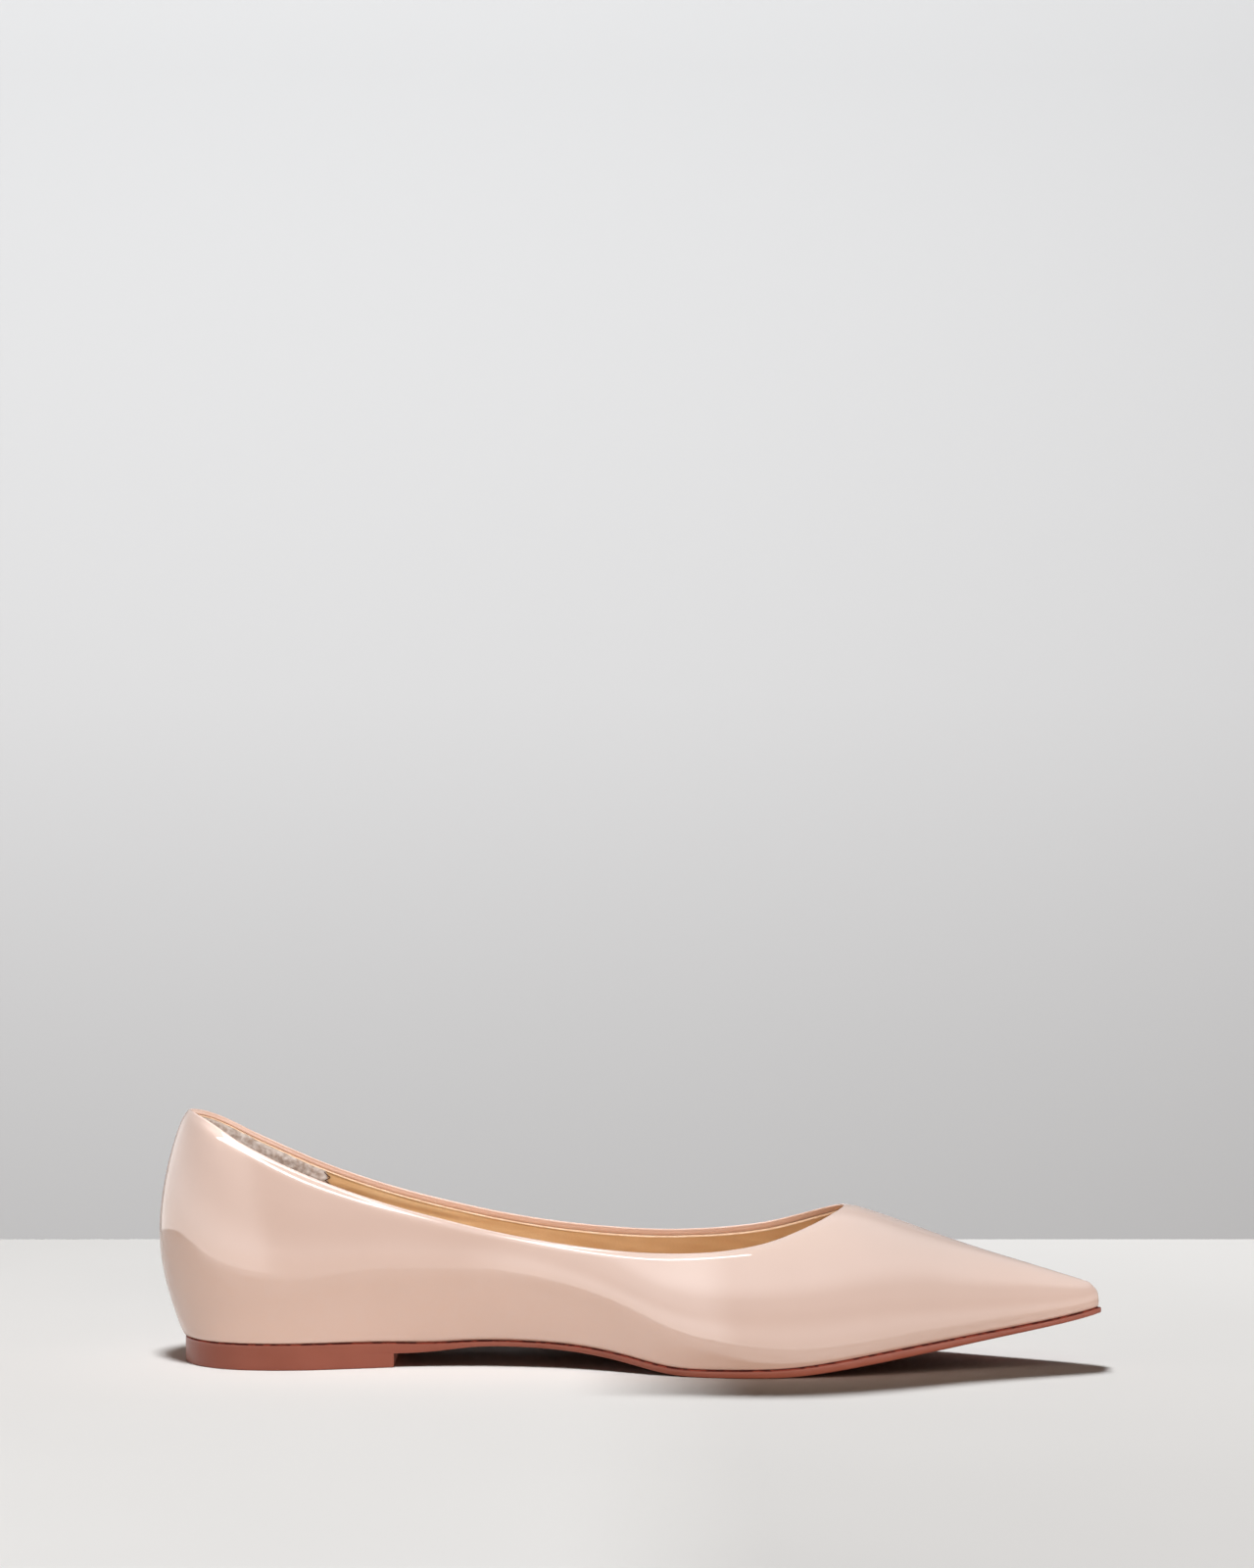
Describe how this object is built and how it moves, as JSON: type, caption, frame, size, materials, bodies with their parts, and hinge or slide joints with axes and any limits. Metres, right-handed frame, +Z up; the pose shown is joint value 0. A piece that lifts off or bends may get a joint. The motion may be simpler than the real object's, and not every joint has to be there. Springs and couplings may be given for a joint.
{
  "type": "flat shoe",
  "caption": "Pointed ballet flat for the left foot, glossy patent upper with a low topline, insole, thin sole and low heel.",
  "frame": {"origin": "bottom centre of the bounding box, on the floor under the middle of the shoe", "axes": "+X towards the toe, -Y towards the inner side of the foot, +Z up"},
  "size_m": [0.2632, 0.0776, 0.0702],
  "materials": {
    "patent": "high gloss patent leather, nude pink beige",
    "insole_leather": "matte tan lining leather",
    "sole": "satin terracotta"
  },
  "bodies": {
    "root": {"upper": "patent", "insole": "insole_leather", "outsole": "sole", "heel": "sole"}
  },
  "joints": []
}
